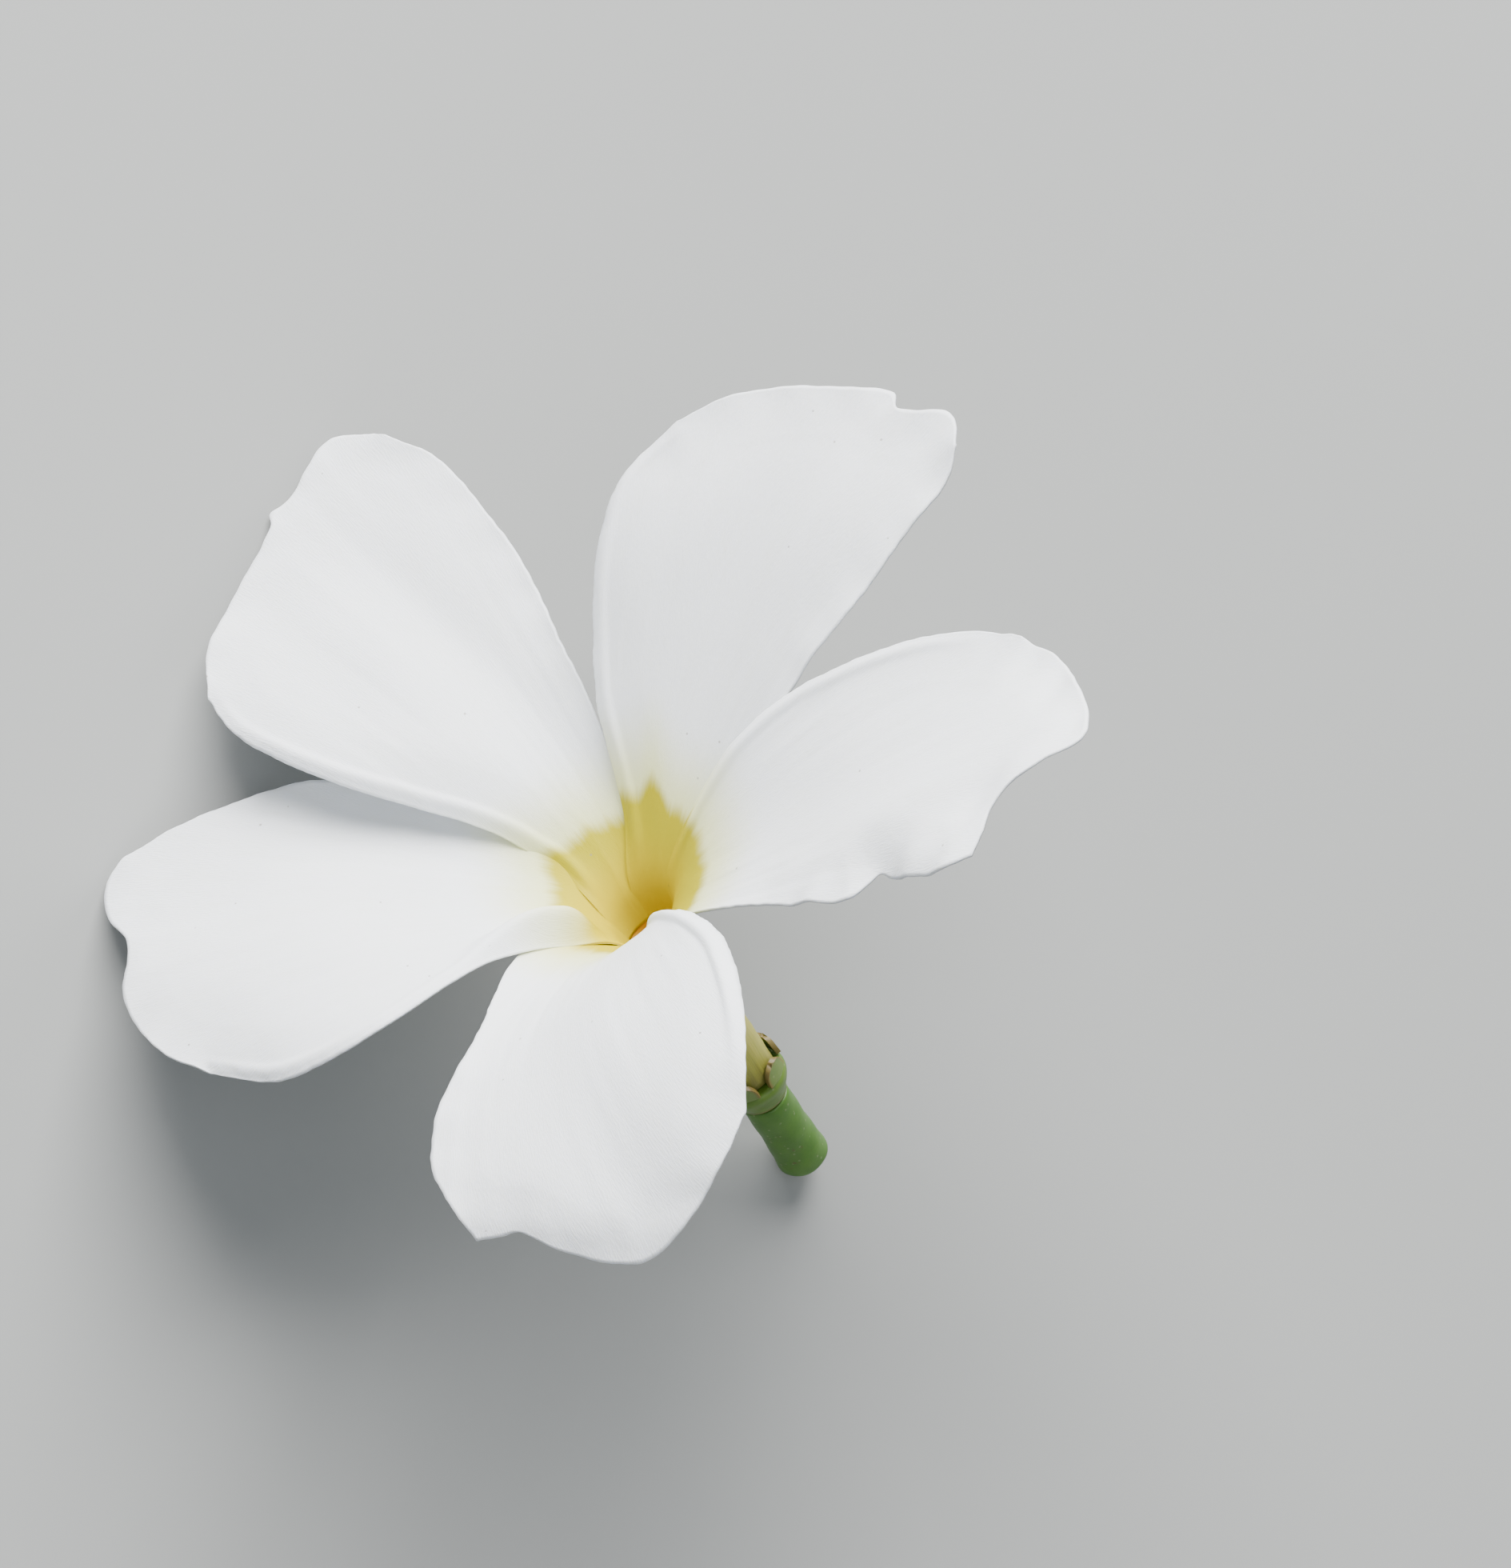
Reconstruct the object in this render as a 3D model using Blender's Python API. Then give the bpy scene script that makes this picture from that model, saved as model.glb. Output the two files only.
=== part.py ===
"""A plumeria flower, as picked, lying on two of its petals and on the cut end of its stalk.

Blender 4.5, metres, +Z up. The flower is worked out in its own frame first: its origin is the middle
of the throat, +Z is the way the flower faces, and +X is the way petal_1 points. The flower frame is
then laid down, so that the origin of the part is the bottom centre of its box.
"""
import math

import bmesh
import bpy
import numpy as np
from mathutils import Matrix, Vector

MM = 0.001
PETALS = 5
GAP = 0.3                    # mm between neighbouring pieces

# The petals, in mm and degrees.
PETAL_THICKNESS = 0.6
PETAL_LENGTH = 44.0          # the length over which droop, twist and sweep build up
THROAT_RADIUS = 2.9          # where the midrib of each petal starts
THROAT_SLOPE = 12.0          # the midrib's angle from the flower's axis at the throat
OPENING_DISTANCE = 3.0       # how fast the midrib turns from the throat slope to its own lean
BASE_TWIST = 18.0            # each petal's left margin lies in front of the next petal's right margin
CUP_LEFT_AT_TIP = 0.65       # how much of the cone's cross curve a petal keeps at its tip
ROWS, COLUMNS = 18, 12       # faces along and across a petal

# Each petal: the direction it points (azimuth), its lean from the axis, how far it droops and
# sweeps sideways by the tip, its twist at the tip, and its outline as (along, across) points in mm.
# Left is the anticlockwise side as the flower faces the viewer. Each turn is how far that margin
# bends forwards (+) or back (-), how wide the bent band is, and how far along it begins.
PETAL_SHAPES = {
    "petal_1": dict(
        azimuth=0, lean=60, droop=11, sweep=6, tip_twist=0,
        turns=dict(left=(-0.9, 7, 26), right=(0.4, 5, 14), tip=(0.3, 4, 0)),
        left=[(0.4, 2.6), (6, 2.6), (11.5, 4.6), (17, 7.8), (22, 11), (27, 13.2), (32, 14.3), (36, 13.6)],
        tip=[(36, 13.6), (39.5, 10.6), (42, 5.5), (44.5, -1), (46, -5), (47, -9), (46.2, -10.6),
             (43.8, -12.7)],
        right=[(0.4, -2.8), (8, -5.6), (14, -8), (20, -9.8), (27, -12.2), (33, -13.4), (39, -14.1),
               (43.8, -12.7)]),
    "petal_2": dict(
        azimuth=66, lean=65, droop=38, sweep=-5, tip_twist=-6,
        turns=dict(left=(-1.7, 8, 24), right=(0.5, 5, 20), tip=(0.4, 5, 0)),
        left=[(0.4, 2.8), (6, 3.4), (10, 5.7), (14, 9.3), (18, 12.6), (22, 14.3), (28, 14.3), (34, 11.5)],
        tip=[(34, 11.5), (37.5, 9), (40.2, 5), (40.9, 1), (40.6, -2.5), (42, -6), (42.2, -9),
             (40.5, -11.5)],
        right=[(0.4, -2.8), (5.5, -6.4), (11.5, -11), (18, -14.5), (25, -15.6), (31, -15), (36, -13.4),
               (40.5, -11.5)]),
    "petal_3": dict(
        azimuth=143, lean=52.5, droop=62, sweep=16, tip_twist=10, opening=2.1,
        turns=dict(left=(-0.7, 6, 18), right=(0.3, 5, 18), tip=(-0.6, 6, 0)),
        left=[(0.4, 2.8), (6, 4.8), (12, 8.6), (18, 11.7), (23, 13.4), (29, 13.7), (34.5, 12.4),
              (39.4, 9.8)],
        tip=[(39.4, 9.8), (42, 6.9), (44.4, 3.2), (46.3, -0.4), (46.9, -2.9), (44.9, -6.9), (41.2, -10.1),
             (39.7, -11.6), (38.7, -14.4)],
        right=[(0.4, -2.8), (4, -6.4), (7.5, -8.4), (13.5, -9), (18, -9.4), (22, -11), (26, -13.4),
               (30, -15), (34, -14.9), (38.7, -14.4)]),
    "petal_4": dict(
        azimuth=223, lean=62, droop=25, sweep=10, tip_twist=-10,
        turns=dict(left=(1.1, 5.5, 8), right=(-0.9, 5, 18), tip=(0.3, 4, 0)),
        left=[(0.4, 2.8), (6.5, 6.2), (12, 9.4), (18, 11.5), (25, 12), (31, 11.4), (36, 9.8), (40, 7.6)],
        tip=[(40, 7.6), (43.4, 4.2), (45.8, -0.2), (46.8, -3.4), (46.4, -5.9), (43.9, -7.6), (41.2, -8.8),
             (39.6, -11), (38.4, -13.9)],
        right=[(0.4, -2.8), (8, -4.6), (15, -7), (20, -9), (25, -11.2), (28.8, -10.4), (32, -12.1),
               (35, -13.7), (38.4, -13.9)]),
    "petal_5": dict(
        azimuth=291, lean=52, droop=30, sweep=-5, tip_twist=8,
        turns=dict(left=(-0.5, 5, 16), right=(0.5, 5, 20), tip=(0.9, 5, 0)),
        left=[(0.4, 2.8), (5, 3.4), (9, 5.2), (13.5, 7.9), (18, 10), (25, 12.8), (31, 13.6), (36, 11.4)],
        tip=[(36, 11.4), (39.5, 8.3), (42.5, 3.5), (44.5, -1.5), (44.8, -5), (45.2, -8.5),
             (45.2, -10.6), (43.5, -12.6)],
        right=[(0.4, -2.8), (8, -5), (16, -7.6), (22, -9.4), (28, -11.4), (34, -12.5), (40, -13.4),
               (43.5, -12.6)]),
}

# The tube: (radius, height) in mm down its outside and up its bore.
TUBE_OUTER = [(3.5, -0.6), (3.0, -3.5), (2.7, -7), (2.5, -12), (2.5, -17), (2.6, -21)]
TUBE_BORE = [(1.9, -21), (1.9, -17), (1.75, -12), (1.85, -7), (2.1, -3.5), (2.5, -0.6)]
TUBE_BOTTOM = -21.0

# The calyx, its five lobes, and the stalk below it.
CALYX_RADIUS = 3.5
CALYX_HEIGHT = 2.8
LOBE_HEIGHT, LOBE_WIDTH, LOBE_THICKNESS = 2.2, 2.6, 0.5
STALK_TOP_RADIUS, STALK_END_RADIUS = 2.1, 2.25
STALK_LENGTH = 9.0
STALK_BEND = 0.12            # radians that the stalk turns aside by its cut end

# Inside the bottom of the tube.
ANTHER_LENGTH, ANTHER_RADIUS, ANTHER_CIRCLE = 2.4, 0.32, 1.22
STIGMA_RADIUS, STYLE_RADIUS, OVARY_RADIUS = 0.5, 0.28, 1.1
SIDES = 32

# How the flower lies.
AXIS_ELEVATION = 35.5        # the way it faces, above the surface
SPIN = -102.9                # turns the gap between petal_1 and petal_2 to the bottom


def clear_scene():
    for item in list(bpy.data.objects):
        bpy.data.objects.remove(item, do_unlink=True)


def material(name, colour, roughness):
    mat = bpy.data.materials.new(name)
    mat.use_nodes = True
    shader = mat.node_tree.nodes["Principled BSDF"]
    shader.inputs["Base Color"].default_value = (*colour, 1.0)
    shader.inputs["Roughness"].default_value = roughness
    shader.inputs["Metallic"].default_value = 0.0
    return mat


def smooth_curve(points, count):
    """count + 1 points, evenly spaced, on a Catmull-Rom curve through the given points."""
    p = np.array(points, float)
    p = np.vstack([2 * p[0] - p[1], p, 2 * p[-1] - p[-2]])
    t = np.linspace(0, 1, 12, endpoint=False)[:, None]
    fine = []
    for a, b, c, d in zip(p, p[1:], p[2:], p[3:]):
        fine.append(0.5 * (2 * b + (c - a) * t + (2 * a - 5 * b + 4 * c - d) * t ** 2
                           + (3 * b - a - 3 * c + d) * t ** 3))
    fine = np.vstack(fine + [p[-2:-1]])
    reach = np.concatenate([[0], np.cumsum(np.linalg.norm(np.diff(fine, axis=0), axis=1))])
    even = np.linspace(0, reach[-1], count + 1)
    return np.column_stack([np.interp(even, reach, fine[:, i]) for i in range(2)])


def petal_plan(shape):
    """The petal's flat outline filled with a grid: ROWS + 1 by COLUMNS + 1 points, in mm."""
    left = smooth_curve(shape["left"], ROWS)[:, None, :]
    right = smooth_curve(shape["right"], ROWS)[:, None, :]
    tip = smooth_curve(shape["tip"][::-1], COLUMNS)[None, :, :]
    base = np.linspace(shape["right"][0], shape["left"][0], COLUMNS + 1)[None, :, :]
    u = np.linspace(0, 1, COLUMNS + 1)[None, :, None]
    v = np.linspace(0, 1, ROWS + 1)[:, None, None]
    corners = ((1 - u) * (1 - v) * base[:, :1] + u * (1 - v) * base[:, -1:]
               + (1 - u) * v * tip[:, :1] + u * v * tip[:, -1:])
    return (1 - u) * right + u * left + (1 - v) * base + v * tip - corners


def midrib(shape):
    """Distance along, radius, height and slope of the midrib, from the throat outwards."""
    along = np.linspace(0, 60, 601)
    opening = shape.get("opening", OPENING_DISTANCE)
    lean = THROAT_SLOPE + (shape["lean"] - THROAT_SLOPE) * (1 - np.exp(-along / opening))
    slope = np.radians(lean + shape["droop"] * (along / PETAL_LENGTH) ** 2)
    step = along[1]
    radius = THROAT_RADIUS + np.concatenate([[0], np.cumsum(np.sin(slope[1:])) * step])
    height = np.concatenate([[0], np.cumsum(np.cos(slope[1:])) * step])
    return along, radius, height, slope


def petal_surface(shape, plan):
    """The flat plan (along, across) put onto the curved, twisted petal, in the flower frame."""
    s, q = plan[..., 0], plan[..., 1]
    along, radii, heights, slopes = midrib(shape)
    radius = np.interp(s, along, radii)
    height = np.interp(s, along, heights)
    slope = np.interp(s, along, slopes)
    far = np.clip(s / PETAL_LENGTH, 0, 1)
    bend = np.cos(slope) / radius * (1 + (CUP_LEFT_AT_TIP - 1) * far)
    bend = np.where(np.abs(bend) < 1e-6, 1e-6, bend)
    side = np.sin(bend * q) / bend
    front = (1 - np.cos(bend * q)) / bend
    twist = np.radians(BASE_TWIST + (shape["tip_twist"] - BASE_TWIST) * far)
    sideways = side * np.cos(twist) - front * np.sin(twist)
    forwards = side * np.sin(twist) + front * np.cos(twist)
    out = radius - forwards * np.cos(slope)
    up = height + forwards * np.sin(slope)
    turn = np.radians(shape["azimuth"] + shape["sweep"] * far)
    return np.stack([out * np.cos(turn) - sideways * np.sin(turn),
                     out * np.sin(turn) + sideways * np.cos(turn), up], axis=-1)


def margin_turns(shape, plan):
    """How far each point of the petal is bent forwards by the turned margins, in mm."""
    lift = np.zeros(plan.shape[:2])
    for side, edge in (("left", plan[:, -1]), ("right", plan[:, 0]), ("tip", plan[-1])):
        height, width, start = shape["turns"][side]
        gaps = plan[:, :, None, :] - edge[None, None, :, :]
        distance = np.sqrt((gaps ** 2).sum(axis=-1)).min(axis=-1)
        begins = np.clip((plan[..., 0] - start + 6) / 12, 0, 1) if start else 1.0
        lift += height * np.clip(1 - distance / width, 0, 1) ** 2 * begins
    return lift


def turn_margins(shape, plan, points):
    """Move the surface along its own front normal where its margins are turned."""
    normal = np.cross(np.gradient(points, axis=0), np.gradient(points, axis=1))
    normal /= np.linalg.norm(normal, axis=-1, keepdims=True)
    return points + normal * margin_turns(shape, plan)[..., None]


def add_object(name, mesh, mat):
    mesh.transform(Matrix.Scale(MM, 4))
    mesh.shade_smooth()
    mesh.set_sharp_from_angle(angle=math.radians(50))
    mesh.materials.append(mat)
    piece = bpy.data.objects.new(name, mesh)
    bpy.context.scene.collection.objects.link(piece)
    return piece


def build_petal(name, shape, mat):
    plan = petal_plan(shape)
    points = turn_margins(shape, plan, petal_surface(shape, plan))
    width = COLUMNS + 1
    faces = []
    for row in range(ROWS):
        for column in range(COLUMNS):
            first = row * width + column
            faces.append((first, first + 1, first + 1 + width, first + width))
    mesh = bpy.data.meshes.new(name)
    mesh.from_pydata(points.reshape(-1, 3).tolist(), [], faces)
    petal = add_object(name, mesh, mat)
    wall = petal.modifiers.new("Thickness", "SOLIDIFY")
    wall.thickness = PETAL_THICKNESS * MM
    wall.offset = 0.0
    wall.use_even_offset = True
    return petal


def turned(name, profile, mat, sides=SIDES):
    """A closed profile of (radius, height) points, turned about the flower's axis."""
    bm = bmesh.new()
    ring = [bm.verts.new((radius, 0, height)) for radius, height in profile]
    edges = [bm.edges.new((a, b)) for a, b in zip(ring, ring[1:] + ring[:1])
             if a.co.x > 0 or b.co.x > 0]
    bmesh.ops.spin(bm, geom=ring + edges, cent=(0, 0, 0), axis=(0, 0, 1), angle=2 * math.pi,
                   steps=sides, use_merge=True)
    bmesh.ops.remove_doubles(bm, verts=bm.verts, dist=0.0005)
    bmesh.ops.recalc_face_normals(bm, faces=bm.faces)
    mesh = bpy.data.meshes.new(name)
    bm.to_mesh(mesh)
    bm.free()
    return add_object(name, mesh, mat)


def build_tube(mat):
    return turned("corolla_tube", TUBE_OUTER + TUBE_BORE, mat)


def build_calyx(mat):
    """A shallow saucer that the tube, its lobes and the ovary stand on."""
    top = TUBE_BOTTOM - GAP
    profile = [(0, top), (CALYX_RADIUS - 0.3, top), (CALYX_RADIUS, top - 0.5),
               (CALYX_RADIUS - 0.3, top - 1.3), (STALK_TOP_RADIUS + 0.3, top - 2.2),
               (STALK_TOP_RADIUS, top - CALYX_HEIGHT), (0, top - CALYX_HEIGHT)]
    return turned("calyx", profile, mat)


def build_lobe(number, mat):
    """One small round-tipped calyx lobe, pressed against the tube."""
    inner = TUBE_OUTER[-1][0] + GAP
    bottom = TUBE_BOTTOM
    rows, columns = 5, 6
    bm = bmesh.new()
    grid = []
    for row in range(rows + 1):
        v = row / rows
        half = LOBE_WIDTH / 2 * math.sqrt(1 - (0.97 * v) ** 2.4)
        line = []
        for column in range(columns + 1):
            angle = half * (2 * column / columns - 1) / inner + 2 * math.pi * number / PETALS
            height = bottom + LOBE_HEIGHT * v
            line.append(bm.verts.new((inner * math.cos(angle), inner * math.sin(angle), height)))
        grid.append(line)
    for low, high in zip(grid, grid[1:]):
        for a, b, c, d in zip(low, low[1:], high[1:], high):
            bm.faces.new((a, b, c, d))
    mesh = bpy.data.meshes.new("sepal")
    bm.to_mesh(mesh)
    bm.free()
    lobe = add_object(f"sepal_{number + 1}", mesh, mat)
    wall = lobe.modifiers.new("Thickness", "SOLIDIFY")
    wall.thickness = LOBE_THICKNESS * MM
    wall.offset = 1.0
    return lobe


def swept(name, rings, mat, sides):
    """A closed solid through rings of (centre, direction, radius)."""
    bm = bmesh.new()
    loops = []
    for centre, direction, radius in rings:
        turn = Vector((0, 0, 1)).rotation_difference(Vector(direction)).to_matrix()
        loop = []
        for i in range(sides):
            angle = 2 * math.pi * i / sides
            spoke = turn @ Vector((radius * math.cos(angle), radius * math.sin(angle), 0))
            loop.append(bm.verts.new(Vector(centre) + spoke))
        loops.append(loop)
    for low, high in zip(loops, loops[1:]):
        for i in range(sides):
            bm.faces.new((low[i], low[(i + 1) % sides], high[(i + 1) % sides], high[i]))
    bm.faces.new(reversed(loops[0]))
    bm.faces.new(loops[-1])
    bmesh.ops.recalc_face_normals(bm, faces=bm.faces)
    mesh = bpy.data.meshes.new(name)
    bm.to_mesh(mesh)
    bm.free()
    return add_object(name, mesh, mat)


def build_stalk(mat):
    """The flower's own stalk, from the calyx to the plain cut at its end."""
    start = TUBE_BOTTOM - CALYX_HEIGHT - 2 * GAP
    rings = []
    steps = 8
    x, z = 0.0, start
    for i in range(steps + 1):
        t = i / steps
        angle = STALK_BEND * t
        radius = STALK_TOP_RADIUS + (STALK_END_RADIUS - STALK_TOP_RADIUS) * t
        rings.append(((x, 0, z), (math.sin(angle), 0, -math.cos(angle)), radius))
        x += math.sin(angle) * STALK_LENGTH / steps
        z -= math.cos(angle) * STALK_LENGTH / steps
    return swept("pedicel", rings, mat, 24)


def build_stamen(number, mat):
    """An anther on a very short filament, leaning in from the bottom of the tube's bore."""
    angle = 2 * math.pi * (number + 0.5) / PETALS
    bottom = TUBE_BOTTOM + 2.2
    heights = [0, 0.15, 0.35, 0.6, 1.4, 2.0, 2.4]
    widths = [0.4, 0.45, 0.8, 1.0, 0.9, 0.55, 0.12]
    rings = []
    for height, width in zip(heights, widths):
        spot = (ANTHER_CIRCLE * math.cos(angle), ANTHER_CIRCLE * math.sin(angle),
                bottom + height * ANTHER_LENGTH / heights[-1])
        rings.append((spot, (0, 0, 1), width * ANTHER_RADIUS))
    return swept(f"stamen_{number + 1}", rings, mat, 10)


def build_pistil(mat):
    """The ovary on the calyx, a short style, and the thick stigma between the anthers."""
    floor = TUBE_BOTTOM
    profile = [(0, floor), (OVARY_RADIUS * 0.8, floor), (OVARY_RADIUS, floor + 0.6),
               (OVARY_RADIUS * 0.8, floor + 1.2), (STYLE_RADIUS, floor + 1.7),
               (STYLE_RADIUS, floor + 2.6), (STIGMA_RADIUS, floor + 2.9),
               (STIGMA_RADIUS, floor + 3.7), (STYLE_RADIUS, floor + 4.2), (0, floor + 4.4)]
    return turned("pistil", profile, mat, 16)


def lay_down(pieces):
    """Turn the flower frame to the lying flower, then put the box's bottom centre at the origin."""
    turn = Matrix.Rotation(math.radians(90 - AXIS_ELEVATION), 4, "X")
    turn = turn @ Matrix.Rotation(math.radians(SPIN), 4, "Z")
    for piece in pieces:
        piece.data.transform(turn)
    bpy.context.view_layer.update()
    graph = bpy.context.evaluated_depsgraph_get()
    corners = []
    for piece in pieces:
        solid = piece.evaluated_get(graph)
        corners += [tuple(vertex.co) for vertex in solid.data.vertices]
    corners = np.array(corners)
    low, high = corners.min(axis=0), corners.max(axis=0)
    base = Vector(((low[0] + high[0]) / 2, (low[1] + high[1]) / 2, low[2]))
    for piece in pieces:
        piece.data.transform(Matrix.Translation(-base))


def build_flower():
    petal_wax = material("petal_white", (0.83, 0.85, 0.84), 0.5)
    tube_wax = material("tube_yellow_green", (0.36, 0.40, 0.07), 0.5)
    stalk_green = material("stalk_green", (0.07, 0.17, 0.07), 0.45)
    lobe_green = material("lobe_green", (0.12, 0.24, 0.08), 0.5)
    anther_yellow = material("anther_yellow", (0.75, 0.55, 0.12), 0.7)
    pistil_green = material("pistil_green", (0.55, 0.60, 0.25), 0.5)

    pieces = [build_petal(name, shape, petal_wax) for name, shape in PETAL_SHAPES.items()]
    pieces.append(build_tube(tube_wax))
    pieces.append(build_calyx(lobe_green))
    pieces += [build_lobe(number, lobe_green) for number in range(PETALS)]
    pieces.append(build_stalk(stalk_green))
    pieces.append(build_pistil(pistil_green))
    pieces += [build_stamen(number, anther_yellow) for number in range(PETALS)]
    lay_down(pieces)


clear_scene()
build_flower()
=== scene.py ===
import math

import bpy
import numpy as np
from mathutils import Matrix, Vector


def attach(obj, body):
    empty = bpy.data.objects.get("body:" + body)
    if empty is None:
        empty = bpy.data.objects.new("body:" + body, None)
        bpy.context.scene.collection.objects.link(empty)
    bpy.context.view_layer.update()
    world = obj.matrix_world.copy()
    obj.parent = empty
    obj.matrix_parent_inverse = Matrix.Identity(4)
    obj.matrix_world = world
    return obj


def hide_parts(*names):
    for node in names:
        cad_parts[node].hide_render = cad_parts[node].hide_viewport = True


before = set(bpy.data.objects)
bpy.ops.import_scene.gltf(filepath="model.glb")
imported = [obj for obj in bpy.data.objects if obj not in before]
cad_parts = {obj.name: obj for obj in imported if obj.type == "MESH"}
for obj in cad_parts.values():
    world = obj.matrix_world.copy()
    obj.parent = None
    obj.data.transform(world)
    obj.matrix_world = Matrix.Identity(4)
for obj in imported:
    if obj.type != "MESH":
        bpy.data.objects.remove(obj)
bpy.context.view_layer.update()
MM = 0.001


# ---- How the flower lies ---------------------------------------------------------------------------
# The flower is shaped in its own frame: its throat at the origin, facing +Z, petal_1 along +X. Picked,
# it lies on petals 1 and 2 and on the cut end of its stalk, which turns that frame to the table's.
AXIS_ELEVATION, SPIN = math.radians(35.5), math.radians(-102.9)
TUBE_MOUTH = -0.6                      # mm, height of the solid tube's rim below the throat
lie = Matrix.Rotation(math.pi / 2 - AXIS_ELEVATION, 4, "X") @ Matrix.Rotation(SPIN, 4, "Z")
rim = np.array([lie.inverted() @ v.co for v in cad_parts["corolla_tube"].data.vertices])
throat = Vector(((rim[:, 0].min() + rim[:, 0].max()) / 2, (rim[:, 1].min() + rim[:, 1].max()) / 2,
                 rim[:, 2].max() - TUBE_MOUTH * MM))
flower_to_world = lie @ Matrix.Translation(throat) @ Matrix.Scale(MM, 4)


# ---- Camera, floor and light -----------------------------------------------------------------------
# The camera looks down on the lying flower, a little to the side of the way the flower faces. The
# floor is plain, pale and matt. The light is one large soft source, with a weak fill and a dim sky.
VIEW_TILT, VIEW_TURN, VIEW_ROLL = math.radians(46), math.radians(173), math.radians(-33)
VIEW_DISTANCE, PICTURE_HEIGHT = 600.0, 125.6
PICTURE_OFFSET = (8.9, 10.9)           # mm from the throat to the middle of the picture
FLOOR_TONE = (0.33, 0.338, 0.334)


def flower_point(x, y, z):
    return flower_to_world @ Vector((x, y, z))


def view_axes():
    """Right, up and towards-the-camera, in the flower's frame."""
    towards = Vector((math.sin(VIEW_TILT) * math.cos(VIEW_TURN),
                      math.sin(VIEW_TILT) * math.sin(VIEW_TURN), math.cos(VIEW_TILT)))
    away = Vector((math.cos(VIEW_TILT) * -math.cos(VIEW_TURN),
                   math.cos(VIEW_TILT) * -math.sin(VIEW_TURN), math.sin(VIEW_TILT)))
    up = Matrix.Rotation(VIEW_ROLL, 3, towards) @ away
    return up.cross(towards), up, towards


right, up, towards = view_axes()
aim = right * PICTURE_OFFSET[0] + up * PICTURE_OFFSET[1]
camera_data = bpy.data.cameras.new("camera")
camera_data.sensor_fit = "VERTICAL"
camera_data.angle_y = 2 * math.atan(PICTURE_HEIGHT / 2 / VIEW_DISTANCE)
camera_data.clip_start = 0.01
camera = bpy.data.objects.new("camera", camera_data)
turn = (lie.to_3x3() @ Matrix((right, up, towards)).transposed()).to_4x4()
camera.matrix_world = Matrix.Translation(flower_point(*(aim + towards * VIEW_DISTANCE))) @ turn
bpy.context.scene.collection.objects.link(camera)
bpy.context.scene.camera = camera


def add_light(name, direction, distance, size, watts, colour):
    """A square area light towards `direction` of the picture (right, up, towards the camera)."""
    data = bpy.data.lights.new(name, "AREA")
    data.shape, data.size, data.energy, data.color = "SQUARE", size, watts, colour
    light = bpy.data.objects.new(name, data)
    way = (lie.to_3x3() @ (right * direction[0] + up * direction[1] + towards * direction[2]))
    way.normalize()
    light.location = flower_point(0, 0, 15) + way * distance
    light.rotation_euler = way.to_track_quat("Z", "Y").to_euler()
    bpy.context.scene.collection.objects.link(light)


add_light("key", (0.1, 0.95, 0.48), 0.9, 0.8, 42.0, (1.0, 0.99, 0.97))
add_light("fill", (0.3, -0.1, 1.0), 1.1, 0.9, 2.5, (0.93, 0.97, 1.0))
world = bpy.data.worlds.new("sky")
world.use_nodes = True
world.node_tree.nodes["Background"].inputs["Color"].default_value = (0.90, 0.95, 1.0, 1)
world.node_tree.nodes["Background"].inputs["Strength"].default_value = 0.46
bpy.context.scene.world = world


class Value:
    """One shader socket, so that shader maths can be written as Python expressions."""

    def __init__(self, tree, socket):
        self.tree, self.socket = tree, socket

    def math(self, operation, *inputs):
        node = self.tree.nodes.new("ShaderNodeMath")
        node.operation = operation
        for slot, item in zip(node.inputs, inputs):
            plug(self.tree, item, slot)
        return Value(self.tree, node.outputs[0])

    def __add__(self, other):
        return self.math("ADD", self, other)

    def __radd__(self, other):
        return self.math("ADD", other, self)

    def __sub__(self, other):
        return self.math("SUBTRACT", self, other)

    def __mul__(self, other):
        return self.math("MULTIPLY", self, other)

    def __truediv__(self, other):
        return self.math("DIVIDE", self, other)


def plug(tree, item, slot):
    if isinstance(item, Value):
        tree.links.new(item.socket, slot)
    elif slot.type == "RGBA" and len(item) == 3:
        slot.default_value = (*item, 1.0)
    else:
        slot.default_value = item


class Finish:
    """A material whose nodes are added one call at a time."""

    def __init__(self, name):
        self.material = bpy.data.materials.new(name)
        self.material.use_nodes = True
        self.tree = self.material.node_tree
        self.shader = self.tree.nodes["Principled BSDF"]

    def node(self, kind, settings=None, inputs=None, output=0):
        node = self.tree.nodes.new("ShaderNode" + kind)
        for name, setting in (settings or {}).items():
            setattr(node, name, setting)
        for name, item in (inputs or {}).items():
            plug(self.tree, item, node.inputs[name])
        return Value(self.tree, node.outputs[output])

    def attribute(self, name):
        return self.node("Attribute", {"attribute_name": name}, output="Fac")

    def ramp(self, value, low, high):
        """0 below low and 1 above high, with a soft change between; low may be above high."""
        return self.node("MapRange", {"interpolation_type": "SMOOTHSTEP"},
                         {"Value": value, "From Min": low, "From Max": high})

    def mix(self, factor, a, b, blend="MIX"):
        node = self.tree.nodes.new("ShaderNodeMix")
        node.data_type, node.blend_type = "RGBA", blend
        for name, item in (("Factor_Float", factor), ("A_Color", a), ("B_Color", b)):
            plug(self.tree, item, next(i for i in node.inputs if i.identifier == name))
        return Value(self.tree, next(o for o in node.outputs if o.identifier == "Result_Color"))

    def noise(self, vector, scale, detail=2.0, roughness=0.5):
        return self.node("TexNoise", None, {"Vector": vector, "Scale": scale, "Detail": detail,
                                            "Roughness": roughness})

    def bump(self, height, strength, distance, normal=None):
        inputs = {"Height": height, "Strength": strength, "Distance": distance}
        if normal is not None:
            inputs["Normal"] = normal
        return self.node("Bump", None, inputs)

    def math_node(self, operation, *inputs):
        return Value(self.tree, None).math(operation, *inputs)

    def finish(self, **sockets):
        for name, item in sockets.items():
            plug(self.tree, item, self.shader.inputs[name.replace("_", " ")])
        return self.material


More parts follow.
